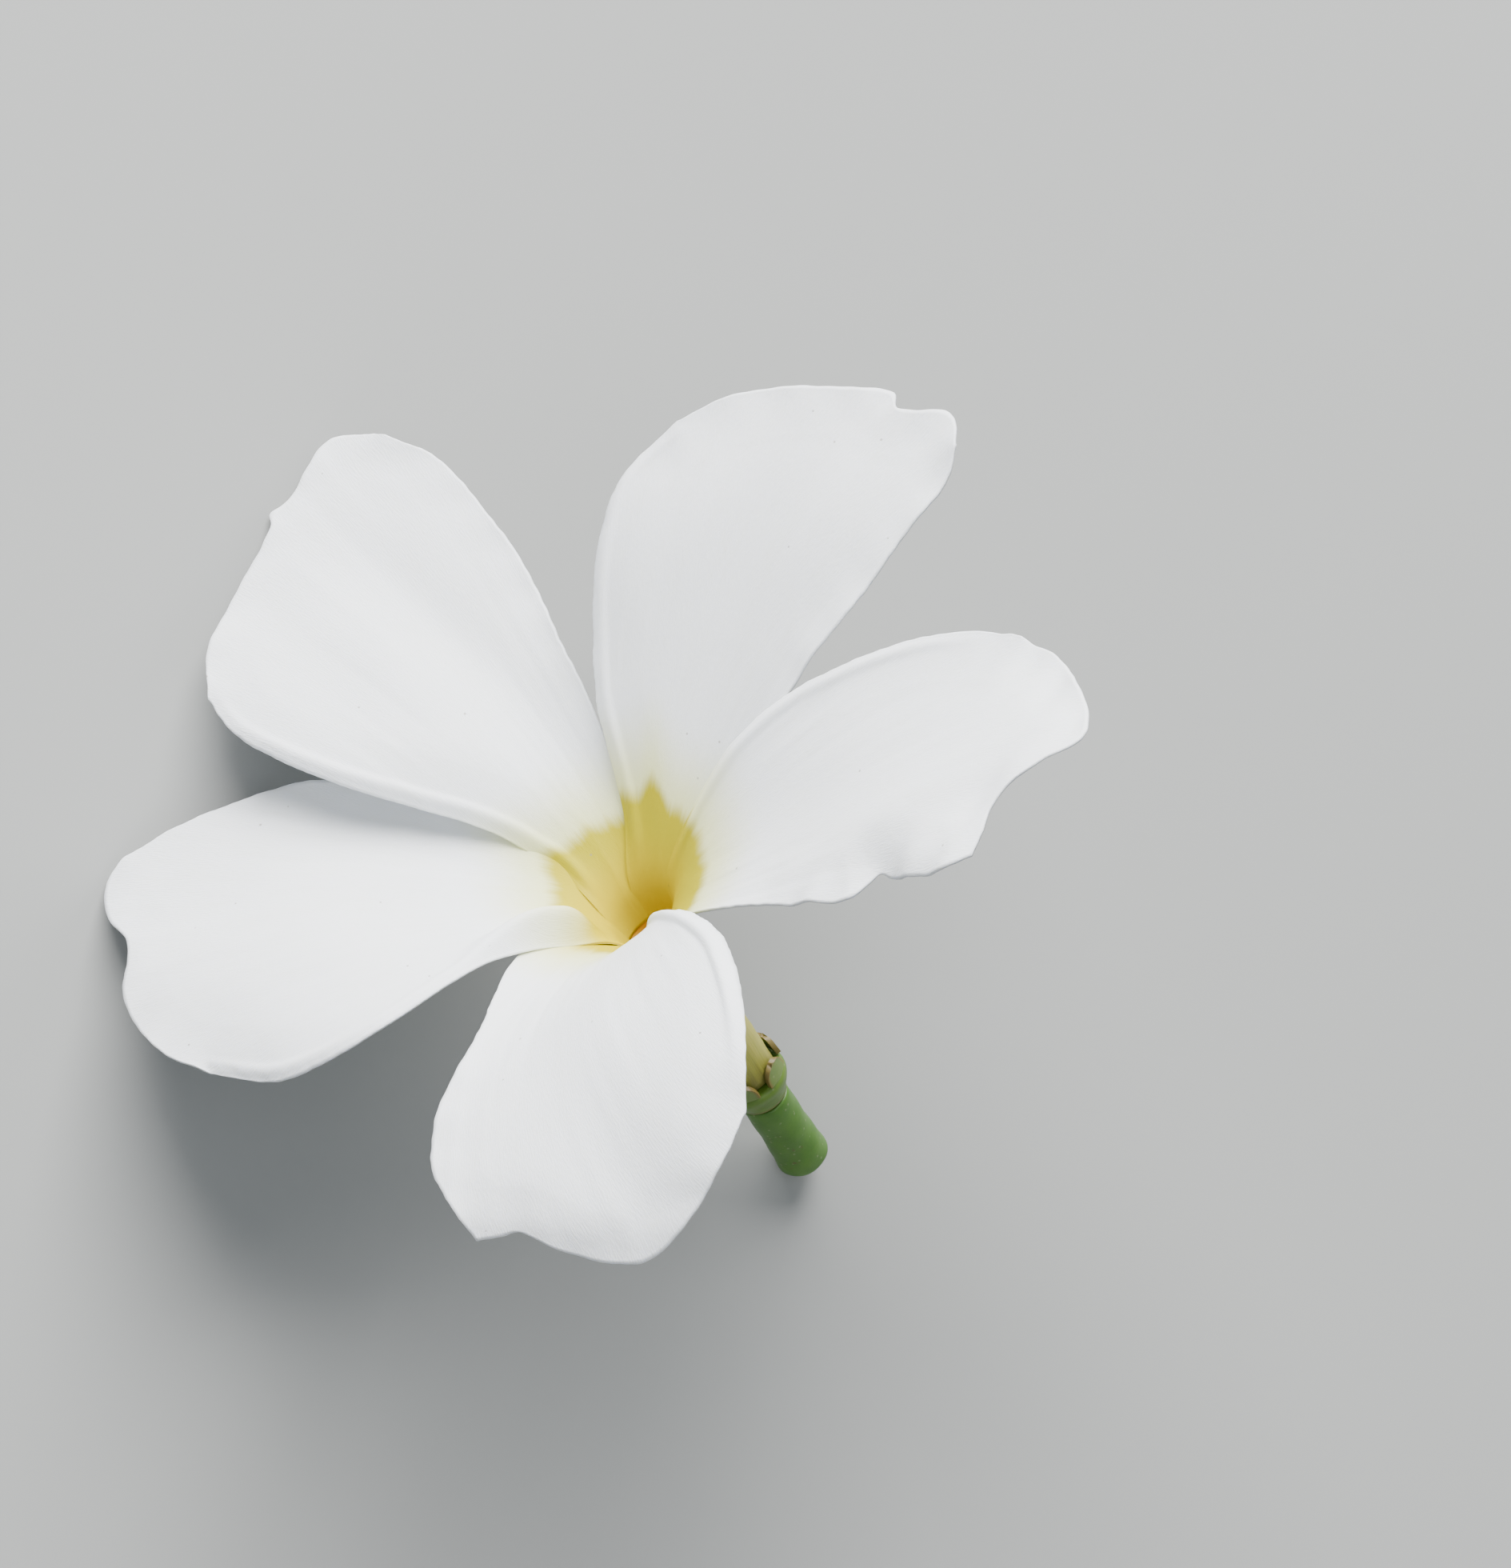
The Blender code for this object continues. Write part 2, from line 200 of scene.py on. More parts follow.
def deselect():
    if bpy.context.object and bpy.context.object.mode != "OBJECT":
        bpy.ops.object.mode_set(mode="OBJECT")
    bpy.ops.object.select_all(action="DESELECT")


deselect()
bpy.ops.mesh.primitive_plane_add(size=4.0, location=(0, 0, 0))
floor = bpy.context.object
floor.name = "floor"
floor_paint = Finish("floor_paint")
spot = floor_paint.node("TexCoord", output="Object")
grain = floor_paint.noise(spot, 220.0, 4.0)
floor_paint.finish(Base_Color=floor_paint.mix(grain, [c * 0.985 for c in FLOOR_TONE], FLOOR_TONE),
                   Roughness=0.85)
floor.data.materials.append(floor_paint.material)


# ---- The five petals -------------------------------------------------------------------------------
# Each petal is one waxy white blade, grown out of the mouth of the tube. It is thick and fleshy down
# the middle and thin at its margin. Its left margin lies over its neighbour and is rolled back.
PETAL_LENGTH, THROAT_RADIUS, THROAT_SLOPE, OPENING_DISTANCE = 44.0, 2.9, 12.0, 3.0
BASE_TWIST, CUP_LEFT_AT_TIP = 18.0, 0.65
PETAL_ROWS, PETAL_COLUMNS = 144, 104
ROOT = -2.5                            # mm along, where the petal starts inside the tube's wall
THICKNESS = 0.75                       # mm down the middle
EVENING_ROUNDS = 12                    # passes that space the petal's grid evenly
RAGGED = 0.025                         # mm
PRESSED = 0.35                         # mm that the left margin is pressed down at the petal's foot
# Outlines are (along, across) in mm from the throat, with the petal's left at + across. Angles are in
# degrees. A turn of a margin is (height, width, start), a tuck is (left, right), a swell is (along,
# across, length, width, height), and the eye is how far the yellow reaches along the right, middle and
# left of the petal, with a spike (height, side).
PETALS = {
    "petal_1": dict(
        azimuth=0, lean=60, droop=11, sweep=6, tip_twist=0,
        left=[(ROOT, 2.6), (0.4, 2.6), (6, 2.4), (11.5, 4.4), (17, 7.8), (22, 11), (27, 13.2),
              (32, 14.3), (36, 13.6)],
        tip=[(36, 13.6), (39.5, 10.6), (42, 5.5), (43.7, 1), (44.6, -0.9), (45.5, -1.6), (45.4, -3.6),
             (46.5, -6.8), (47, -9), (46.2, -10.6), (43.8, -12.7)],
        right=[(ROOT, -2.6), (0.4, -2.8), (8, -5.6), (14, -8), (20, -9.8), (27, -12.2), (33, -13.4),
               (39, -14.1), (43.8, -12.7)],
        lobe=0.0, lip=0.25, left_turn=(-0.9, 7, 26), right_turn=(0.4, 5, 14), tip_turn=(0.3, 4),
        tuck=(-1.4, 0.9), eye=(5.6, 6.2, 7.8, 0.3, 0),
        swells=[(27, -4, 14, 2.6, -0.55), (26, 2, 14, 3, 0.4), (40, 4, 6, 5, -0.4)]),
    "petal_2": dict(
        azimuth=66, lean=65, droop=38, sweep=-5, tip_twist=-6,
        left=[(ROOT, 2.6), (0.4, 2.8), (6, 3.4), (10, 5.7), (14, 9.3), (18, 12.6), (22, 14.3),
              (28, 14.3), (34, 11.5)],
        tip=[(34, 11.5), (37.5, 9), (40.2, 5), (41, 1.6), (40.4, -1.4), (40.6, -3.6), (41.9, -5.6),
             (42.4, -7.8), (42, -9.9), (40.5, -11.5)],
        right=[(ROOT, -2.6), (0.4, -3.2), (5, -7.2), (11, -11.6), (18, -14.6), (25, -15.6), (31, -15),
               (36, -13.4), (40.5, -11.5)],
        lobe=2.0, lip=0.2, left_turn=(-1.7, 8, 24), right_turn=(0.5, 5, 20), tip_turn=(0.4, 5),
        tuck=(0.0, 1.8), eye=(5.8, 5.0, 2.4, 0, 0),
        swells=[(22, 3, 9, 5, 0.7), (34, -6, 7, 5, -0.5), (40, 6, 6, 4, -0.4)]),
    "petal_3": dict(
        azimuth=143, lean=52.5, droop=62, opening=2.1, sweep=16, tip_twist=10,
        left=[(ROOT, 2.6), (0.4, 2.8), (6, 4.8), (12, 8.6), (18, 11.7), (23, 13.4), (29, 13.7),
              (34.5, 12.4), (39.4, 9.8)],
        tip=[(39.4, 9.8), (42, 6.9), (44.4, 3.2), (46.3, -0.4), (46.9, -2.9), (46.2, -4.9), (44.9, -6.9),
             (43, -8.8), (41, -10.1), (39.8, -11), (39.4, -12.5), (38.7, -14.4)],
        right=[(ROOT, -2.6), (0.4, -3.6), (3.5, -7.2), (7, -8.7), (13, -9), (18, -9.4), (21.5, -10.8),
               (25.5, -13.3), (30, -15), (34, -14.9), (36.5, -14.6), (38.7, -14.4)],
        lobe=0.0, lip=0.4, left_turn=(-0.7, 6, 18), right_turn=(0.3, 5, 18), tip_turn=(-0.6, 6),
        tuck=(-0.2, 1.2), eye=(2.0, 4.4, 6.4, 0, 0),
        swells=[(4, 0.5, 3, 2.4, -0.6), (7, 6.5, 4, 1.8, 0.4), (41, -1, 9, 5, -0.8), (24, 2, 9, 5, 0.6)]),
    "petal_4": dict(
        azimuth=223, lean=62, droop=25, sweep=10, tip_twist=-10, wavy=0.35,
        left=[(ROOT, 2.6), (0.4, 2.8), (6.5, 6.2), (12, 9.4), (18, 11.5), (25, 12), (31, 11.4),
              (36, 9.8), (40, 7.6)],
        tip=[(40, 7.6), (43.4, 4.2), (45.8, -0.2), (46.8, -3.4), (46.5, -5.9), (43.9, -7.6), (41.4, -8.6),
             (39.8, -10), (39.2, -12), (38.4, -13.9)],
        right=[(ROOT, -2.6), (0.4, -2.8), (8, -4.6), (15, -7), (20, -9), (24.4, -10.9), (26.7, -11.5),
               (27.9, -10.6), (28.9, -9.9), (30, -10.7), (31.8, -12), (34, -13.2), (36.4, -14.3),
               (38.4, -13.9)],
        lobe=0.0, lip=0.2, left_turn=(1.1, 5.5, 8), right_turn=(-0.9, 5, 18), tip_turn=(0.3, 4),
        tuck=(-0.4, 1.2), eye=(7.2, 7.4, 6.2, 0.3, 0),
        swells=[(30, -5, 8, 3, 0.5), (16, 2, 7, 4, -0.4), (38, -8, 4, 3, -0.4)]),
    "petal_5": dict(
        azimuth=291, lean=52, droop=30, sweep=-5, tip_twist=8,
        left=[(ROOT, 2.6), (0.4, 2.8), (5, 3.4), (9, 5.2), (13.5, 7.9), (18, 10), (25, 12.8),
              (31, 13.6), (36, 11.4)],
        tip=[(36, 11.4), (39.5, 8.3), (42.5, 3.5), (44.5, -1.5), (45.3, -4.2), (44.3, -5.4),
             (44.7, -7.2), (45.7, -9.4), (45.2, -11), (43.5, -12.6)],
        right=[(ROOT, -2.6), (0.4, -2.8), (8, -5), (16, -7.6), (22, -9.4), (28, -11.4), (34, -12.5),
               (40, -13.4), (43.5, -12.6)],
        lobe=0.0, lip=0.25, left_turn=(-0.5, 5, 16), right_turn=(0.5, 5, 20), tip_turn=(0.9, 5),
        tuck=(-1.1, 0.4), eye=(6.6, 7.2, 7.6, 2.2, 0.38),
        swells=[(24, 0, 12, 3, -0.45), (30, 6, 8, 3, 0.4), (34, -6, 8, 4, 0.4)]),
}


def settle(piece, finish, node):
    """Smooth the piece, give it its material, hang it under the root body and hide the CAD part it stands
    for.
    """
    piece.data.shade_smooth()
    piece.data.materials.clear()
    piece.data.materials.append(finish)
    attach(piece, "root")
    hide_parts(node)


def add_values(piece, title, values):
    layer = piece.data.attributes.new(title, "FLOAT", "POINT")
    layer.data.foreach_set("value", np.array(values, np.float32))


def smooth_curve(points, count):
    """count + 1 points, evenly spaced, on a Catmull-Rom curve through the given points."""
    p = np.array(points, float)
    p = np.vstack([2 * p[0] - p[1], p, 2 * p[-1] - p[-2]])
    t = np.linspace(0, 1, 24, endpoint=False)[:, None]
    fine = []
    for a, b, c, d in zip(p, p[1:], p[2:], p[3:]):
        fine.append(0.5 * (2 * b + (c - a) * t + (2 * a - 5 * b + 4 * c - d) * t ** 2
                           + (3 * b - a - 3 * c + d) * t ** 3))
    fine = np.vstack(fine + [p[-2:-1]])
    reach = np.concatenate([[0], np.cumsum(np.linalg.norm(np.diff(fine, axis=0), axis=1))])
    even = np.linspace(0, reach[-1], count + 1)
    return np.column_stack([np.interp(even, reach, fine[:, i]) for i in range(2)])


def ragged(plan, margins, seed):
    """The margin's fine unevenness: its points pushed in and out by a few hundredths of a mm."""
    s, q = plan[..., 0], plan[..., 1]
    left, right, tip = margins
    push = (np.sin(s * 1.3 + q * 0.9 + seed) + 0.8 * np.sin(s * 2.9 - q * 2.1 + 2 * seed)
            + 0.6 * np.sin(s * 5.3 + q * 4.1)) * RAGGED * fade(s, 6, 14)
    uneven = plan.copy()
    uneven[..., 1] += push * (np.clip(1 - left / 1.5, 0, 1) - np.clip(1 - right / 1.5, 0, 1))
    uneven[..., 0] += push * np.clip(1 - tip / 1.5, 0, 1)
    return uneven


def petal_plan(shape):
    """The petal's flat outline filled with an even grid of (along, across) points, in mm."""
    left = smooth_curve(shape["left"], PETAL_ROWS)[:, None, :]
    right = smooth_curve(shape["right"], PETAL_ROWS)[:, None, :]
    tip = smooth_curve(shape["tip"][::-1], PETAL_COLUMNS)[None, :, :]
    base = np.linspace(shape["right"][0], shape["left"][0], PETAL_COLUMNS + 1)[None, :, :]
    u = np.linspace(0, 1, PETAL_COLUMNS + 1)[None, :, None]
    v = np.linspace(0, 1, PETAL_ROWS + 1)[:, None, None]
    corners = ((1 - u) * (1 - v) * base[:, :1] + u * (1 - v) * base[:, -1:]
               + (1 - u) * v * tip[:, :1] + u * v * tip[:, -1:])
    plan = (1 - u) * right + u * left + (1 - v) * base + v * tip - corners
    for _ in range(EVENING_ROUNDS):
        plan[1:-1, 1:-1] = (plan[2:, 1:-1] + plan[:-2, 1:-1] + plan[1:-1, 2:] + plan[1:-1, :-2]) / 4
    return plan


def distance_to(plan, edge):
    """How far each point of the plan is from one of its edges, in mm."""
    gaps = plan[:, :, None, :] - edge[None, None, :, :]
    return np.sqrt((gaps ** 2).sum(axis=-1)).min(axis=-1)


def fade(value, low, high):
    t = np.clip((value - low) / (high - low), 0, 1)
    return t * t * (3 - 2 * t)


def petal_relief(shape, plan, margins):
    """How far each point stands forward of the petal's main curve, in mm."""
    s, q = plan[..., 0], plan[..., 1]
    left, right, tip = margins
    relief = np.zeros_like(s)
    for along, across, long_radius, wide_radius, height in shape["swells"]:
        relief += height * np.exp(-((s - along) / long_radius) ** 2 - ((q - across) / wide_radius) ** 2)
    for gap, (height, width, start) in ((left, shape["left_turn"]), (right, shape["right_turn"])):
        relief += height * np.clip(1 - gap / width, 0, 1) ** 2 * fade(s, start - 6, start + 6)
    height, width = shape["tip_turn"]
    relief += height * np.clip(1 - tip / width, 0, 1) ** 2
    rolled = fade(s, 1, 5) * (1 - fade(s, 26, 38))
    roll = np.exp(-((left - 0.8) / 0.4) ** 2) - 1.2 * np.exp(-(left / 0.4) ** 2)
    relief += shape["lip"] * roll * rolled
    folded = fade(s, 1, 5) * (1 - fade(s, 6, 14))
    fold = np.exp(-((left - 1.35) / 0.85) ** 2) - 0.3 * np.exp(-(left / 0.5) ** 2)
    relief += shape["lobe"] * fold * folded
    close = fade(s, 1, 9) * (1 - fade(s, 17, 32))
    for gap, height in ((left, shape["tuck"][0]), (right, shape["tuck"][1])):
        relief += height * np.clip(1 - gap / 6, 0, 1) ** 2 * close
    relief -= PRESSED * (np.clip(1 - left / 3, 0, 1) * (1 - fade(s, 6, 13)))
    fan = q * 15 / (4 + 0.35 * s)
    ribs = np.sin(fan * 1.1 + shape["azimuth"]) + 0.7 * np.sin(fan * 2.3 + 1.0) + 0.4 * np.sin(fan * 4.1)
    relief += 0.010 * ribs * (1 + np.sin(s * 0.23 + q * 0.4)) * fade(s, 4, 14)
    outer = np.minimum(right, tip)
    wave = np.sin(s * 0.62 + q * 0.35 + shape["azimuth"]) + 0.6 * np.sin(s * 1.15 - q * 0.7)
    return relief + shape.get("wavy", 0.1) * wave * np.clip(1 - outer / 6, 0, 1) ** 2 * fade(s, 14, 24)


def beyond_eye(shape, plan):
    """How far each point lies outside the yellow eye, whose edge differs from petal to petal."""
    side = np.linspace(-1, 1, PETAL_COLUMNS + 1)[None, :]
    right, middle, left, spike, spike_side = shape["eye"]
    edge = (middle + (left - middle) * np.clip(side, 0, 1) ** 1.5
            + (right - middle) * np.clip(-side, 0, 1) ** 1.5)
    edge = edge + spike * np.exp(-((side - spike_side) / 0.22) ** 2)
    return plan[..., 0] - edge


def forward(points):
    """The unit direction out of the petal's front at every point of the grid."""
    across = np.gradient(points, axis=1)
    along = np.gradient(points, axis=0)
    normal = np.cross(along, across)
    normal /= np.linalg.norm(normal, axis=-1, keepdims=True)
    return normal


def petal_surface(shape, plan):
    """The flat plan put onto the curved, twisted petal, in the flower's frame, in mm."""
    s, q = plan[..., 0], plan[..., 1]
    along = np.linspace(0, 60, 601)
    opening = shape.get("opening", OPENING_DISTANCE)
    lean = THROAT_SLOPE + (shape["lean"] - THROAT_SLOPE) * (1 - np.exp(-along / opening))
    slopes = np.radians(lean + shape["droop"] * (along / PETAL_LENGTH) ** 2)
    radii = THROAT_RADIUS + np.concatenate([[0], np.cumsum(np.sin(slopes[1:])) * along[1]])
    heights = np.concatenate([[0], np.cumsum(np.cos(slopes[1:])) * along[1]])
    below = np.minimum(s, 0)
    radius = np.interp(s, along, radii) + below * math.sin(slopes[0])
    height = np.interp(s, along, heights) + below * math.cos(slopes[0])
    slope = np.interp(s, along, slopes)
    far = np.clip(s / PETAL_LENGTH, 0, 1)
    bend = np.cos(slope) / radius * (1 + (CUP_LEFT_AT_TIP - 1) * far)
    bend = np.where(np.abs(bend) < 1e-6, 1e-6, bend)
    side = np.sin(bend * q) / bend
    front = (1 - np.cos(bend * q)) / bend
    base_twist = BASE_TWIST * (0.45 + 0.55 * fade(s, 0, 8))
    twist = np.radians(base_twist + (shape["tip_twist"] - base_twist) * far)
    sideways = side * np.cos(twist) - front * np.sin(twist)
    forwards = side * np.sin(twist) + front * np.cos(twist)
    out = radius - forwards * np.cos(slope)
    rise = height + forwards * np.sin(slope)
    turned = np.radians(shape["azimuth"] + shape["sweep"] * far)
    return np.stack([out * np.cos(turned) - sideways * np.sin(turned),
                     out * np.sin(turned) + sideways * np.cos(turned), rise], axis=-1)


def build_petal(name, shape, wax):
    plan = petal_plan(shape)
    margins = [distance_to(plan, edge) for edge in (plan[:, -1], plan[:, 0], plan[-1])]
    points = petal_surface(shape, ragged(plan, margins, shape["azimuth"]))
    points = points + forward(points) * petal_relief(shape, plan, margins)[..., None]
    deselect()
    bpy.ops.mesh.primitive_grid_add(x_subdivisions=PETAL_COLUMNS, y_subdivisions=PETAL_ROWS, size=2,
                                    location=(0, 0, 0))
    petal = bpy.context.object
    petal.name = name + "_blade"
    mesh = petal.data
    spots = np.array([v.co for v in mesh.vertices])
    column = np.rint((spots[:, 0] + 1) / 2 * PETAL_COLUMNS).astype(int)
    row = np.rint((spots[:, 1] + 1) / 2 * PETAL_ROWS).astype(int)
    mesh.vertices.foreach_set("co", points[row, column].astype(np.float32).ravel())
    mesh.transform(flower_to_world)
    mesh.flip_normals()
    margin = np.minimum.reduce(margins)[row, column]
    add_values(petal, "along", plan[row, column, 0])
    add_values(petal, "across", plan[row, column, 1])
    add_values(petal, "beyond_eye", beyond_eye(shape, plan)[row, column])
    group = petal.vertex_groups.new(name="flesh")
    for i, edge in enumerate(margin):
        group.add([i], 0.3 + 0.7 * min(1.0, edge / 4.0), "REPLACE")
    count = len(mesh.vertices)
    wall = petal.modifiers.new("flesh", "SOLIDIFY")
    wall.thickness, wall.offset, wall.vertex_group = THICKNESS * MM, 0.0, "flesh"
    bpy.ops.object.modifier_apply(modifier="flesh")
    add_values(petal, "front", [1.0 if i < count else 0.0 for i in range(len(petal.data.vertices))])
    settle(petal, wax, name)


def petal_wax():
    wax = Finish("petal_wax")
    along, across = wax.attribute("along"), wax.attribute("across")
    front = wax.attribute("front")
    fan = across * 14.0 / (along + 8.0)
    spread = wax.node("CombineXYZ", None, {"X": fan, "Y": along * 0.05, "Z": front * 3.0})
    broad = wax.noise(spread, 0.9, 2.0)
    streaks = wax.noise(spread, 3.2, 4.0, 0.6)
    spot = wax.node("TexCoord", output="Object")
    cloud = wax.noise(spot, 90.0, 3.0)
    white = wax.mix(cloud, (0.79, 0.82, 0.855), (0.86, 0.885, 0.915))
    white = wax.mix(wax.ramp(streaks, 0.45, 0.75) * 0.35, white, (0.78, 0.80, 0.80))
    beyond = wax.attribute("beyond_eye") + (broad - 0.5) * 1.6 + (streaks - 0.5) * 0.9
    halo = wax.mix(wax.ramp(beyond, 7.5, -0.5) * 0.9, white, (0.72, 0.74, 0.34))
    lemon = wax.mix(wax.ramp(beyond, 0.9, -0.9), halo, (0.42, 0.365, 0.0))
    # Deep in the throat the petals turn gold, which is their own colour. This gold is also painted lighter
    # than the lemon around it: painted light that offsets the shade down in the tube.
    gold_and_painted_light = wax.mix(wax.ramp(along, 6.0, 1.0), lemon, (0.53, 0.42, 0.0))
    outside = wax.mix(wax.ramp(along + streaks * 4.0, 17.0, 3.0), white, (0.78, 0.79, 0.54))
    colour = wax.mix(wax.ramp(front, 0.02, 0.4), outside, gold_and_painted_light)
    dust = wax.node("TexVoronoi", None, {"Vector": spot, "Scale": 330.0})
    colour = wax.mix(wax.ramp(dust, 0.045, 0.025) * 0.6, colour, (0.22, 0.20, 0.16))
    fine = wax.noise(spread, 26.0, 3.0, 0.6)
    pores = wax.noise(spot, 2600.0, 2.0)
    relief = wax.bump(fine, 0.3, 0.0002)
    relief = wax.bump(pores, 0.15, 0.00006, relief)
    return wax.finish(Base_Color=colour, Roughness=0.50 + (cloud - 0.5) * 0.15, Normal=relief,
                      Subsurface_Weight=0.1, Subsurface_Radius=(1.0, 0.9, 0.5),
                      Subsurface_Scale=0.0008, Specular_IOR_Level=0.18)


wax = petal_wax()
for name, shape in PETALS.items():
    build_petal(name, shape, wax)


# ---- The tube --------------------------------------------------------------------------------------
# Below the throat the five petals are grown together into one narrow tube, about 20 mm long. It is
# pale cream where the petals leave it and yellow-green lower down, and golden inside its mouth.
TUBE_OUTSIDE = [(3.2, 0.5), (3.25, -0.3), (3.05, -3), (2.75, -7), (2.5, -12), (2.45, -17), (2.4, -21)]
TUBE_INSIDE = [(1.85, -21), (1.85, -17), (1.75, -12), (1.85, -7), (2.2, -3), (2.75, -0.4), (3.05, 0.5)]
TUBE_SIDES = 80


def turned(name, profile, sides):
    """A profile of (radius, height) points, drawn out ring by ring from one circle."""
    deselect()
    bpy.ops.mesh.primitive_circle_add(vertices=sides, radius=profile[0][0], location=(0, 0, 0))
    piece = bpy.context.object
    piece.name = name
    bpy.ops.object.mode_set(mode="EDIT")
    bpy.ops.mesh.select_all(action="SELECT")
    bpy.ops.transform.translate(value=(0, 0, profile[0][1]))
    for (radius, height), (wider, higher) in zip(profile, profile[1:]):
        bpy.ops.mesh.extrude_region_move(TRANSFORM_OT_translate={"value": (0, 0, higher - height)})
        bpy.ops.transform.resize(value=(wider / radius, wider / radius, 1))
    bpy.ops.mesh.select_all(action="SELECT")
    bpy.ops.mesh.remove_doubles(threshold=0.002)
    bpy.ops.mesh.normals_make_consistent(inside=False)
    bpy.ops.object.mode_set(mode="OBJECT")
    return piece


def ring_profile(outside, inside, steps):
    """Outside downwards and inside upwards as smooth curves, back to where it starts."""
    down = [tuple(p) for p in smooth_curve(outside, steps)]
    back = [tuple(p) for p in smooth_curve(inside, steps)]
    return down + back + [down[0]]


tube = turned("tube_wall", ring_profile(TUBE_OUTSIDE, TUBE_INSIDE, 40), TUBE_SIDES)
for vertex in tube.data.vertices:
    x, y, z = vertex.co
    seam = math.cos(5 * (math.atan2(y, x) - math.radians(36)) - 0.10 * z)
    swell = 1 - 0.030 * max(0.0, 1 + z / 16) * max(0.0, seam) ** 6 + 0.008 * math.sin(3 * z + 2 * y)
    vertex.co = (x * swell, y * swell, z)
add_values(tube, "height", [v.co.z for v in tube.data.vertices])
add_values(tube, "round", [math.atan2(v.co.y, v.co.x) for v in tube.data.vertices])
add_values(tube, "wide", [math.hypot(v.co.x, v.co.y) for v in tube.data.vertices])


def tube_skin():
    skin = Finish("tube_skin")
    height, wide, turn = skin.attribute("height"), skin.attribute("wide"), skin.attribute("round")
    spot = skin.node("TexCoord", output="Object")
    around = skin.node("CombineXYZ", None, {"X": skin.math_node("SINE", turn) * 6.0,
                                            "Y": skin.math_node("COSINE", turn) * 6.0, "Z": height * 0.12})
    streaks = skin.noise(around, 1.6, 4.0, 0.6)
    level = height + (streaks - 0.5) * 5.0
    green = skin.mix(streaks, (0.30, 0.31, 0.05), (0.46, 0.42, 0.07))
    yellow = skin.mix(skin.ramp(level, -20.0, -10.0), green, (0.66, 0.60, 0.16))
    cream = skin.mix(skin.ramp(level, -9.5, -1.5), yellow, (0.78, 0.79, 0.54))
    base = skin.mix(skin.ramp(level, -18.0, -21.5) * 0.7, cream, (0.16, 0.14, 0.04))
    inside = skin.ramp(wide, 2.5, 2.35) * skin.ramp(height, -22.0, -6.0)
    lining = skin.mix(skin.ramp(height, -9.0, -1.0), (0.45, 0.42, 0.10), (0.72, 0.38, 0.01))
    colour = skin.mix(skin.ramp(height, -3.0, 0.0), skin.mix(inside, base, lining), base)
    pores = skin.noise(spot, 1800.0, 2.0)
    relief = skin.bump(streaks, 0.25, 0.0002)
    relief = skin.bump(pores, 0.15, 0.00006, relief)
    return skin.finish(Base_Color=colour, Roughness=0.42 + streaks * 0.12, Normal=relief,
                       Subsurface_Weight=0.12, Subsurface_Radius=(1.0, 0.9, 0.4),
                       Subsurface_Scale=0.001, Specular_IOR_Level=0.45)


tube.data.transform(flower_to_world)
settle(tube, tube_skin(), "corolla_tube")


# ---- The calyx and its lobes -----------------------------------------------------------------------
# The tube stands on a small fleshy green saucer with five blunt lobes, each under 2 mm high, pressed
# against the tube's foot. All of it is dark waxy green, going brown along its edges.
CALYX_PROFILE = [(0.02, -21.3), (1.6, -21.32), (2.75, -21.35), (3.02, -21.55), (3.08, -21.9), (2.95, -22.4),
                 (2.6, -23.1), (2.3, -23.7), (2.16, -24.1), (1.4, -24.12), (0.02, -24.12)]
LOBE_FOOT, LOBE_HEIGHT, LOBE_WIDTH, LOBE_RADIUS, LOBE_THICKNESS = -21.2, 1.7, 2.5, 2.72, 0.42
LOBE_ROWS, LOBE_COLUMNS = 18, 20


def green_skin(name, low, high, edge_name=None):
    """Waxy green skin, mottled between two greens, with pale pores and brown scuffs."""
    skin = Finish(name)
    spot = skin.node("TexCoord", output="Object")
    mottle = skin.noise(spot, 500.0, 4.0, 0.6)
    scuff = skin.noise(spot, 900.0, 5.0, 0.7)
    pores = skin.node("TexVoronoi", None, {"Vector": spot, "Scale": 1500.0})
    pale = skin.ramp(pores, 0.22, 0.10)
    colour = skin.mix(mottle, low, high)
    colour = skin.mix(pale * 0.35, colour, (0.30, 0.34, 0.16))
    colour = skin.mix(skin.ramp(scuff, 0.62, 0.75) * 0.7, colour, (0.13, 0.05, 0.02))
    if edge_name is not None:
        edge = skin.attribute(edge_name)
        colour = skin.mix(skin.ramp(edge, 0.35, 0.0) * 0.8, colour, (0.20, 0.12, 0.03))
    relief = skin.bump(mottle, 0.3, 0.00015)
    relief = skin.bump(pale, 0.3, 0.00005, relief)
    return skin, colour, relief


def finish_green(skin, colour, relief, roughness):
    return skin.finish(Base_Color=colour, Roughness=roughness, Normal=relief,
                       Subsurface_Weight=0.06, Subsurface_Radius=(0.5, 0.8, 0.2),
                       Subsurface_Scale=0.0008, Specular_IOR_Level=0.5)


calyx = turned("calyx_saucer", [tuple(p) for p in smooth_curve(CALYX_PROFILE, 40)], 64)
add_values(calyx, "edge", [abs(v.co.z + 24.1) for v in calyx.data.vertices])
calyx.data.transform(flower_to_world)
settle(calyx, finish_green(*green_skin("calyx_skin", (0.06, 0.14, 0.015), (0.16, 0.26, 0.03), "edge"), 0.42),
       "calyx")

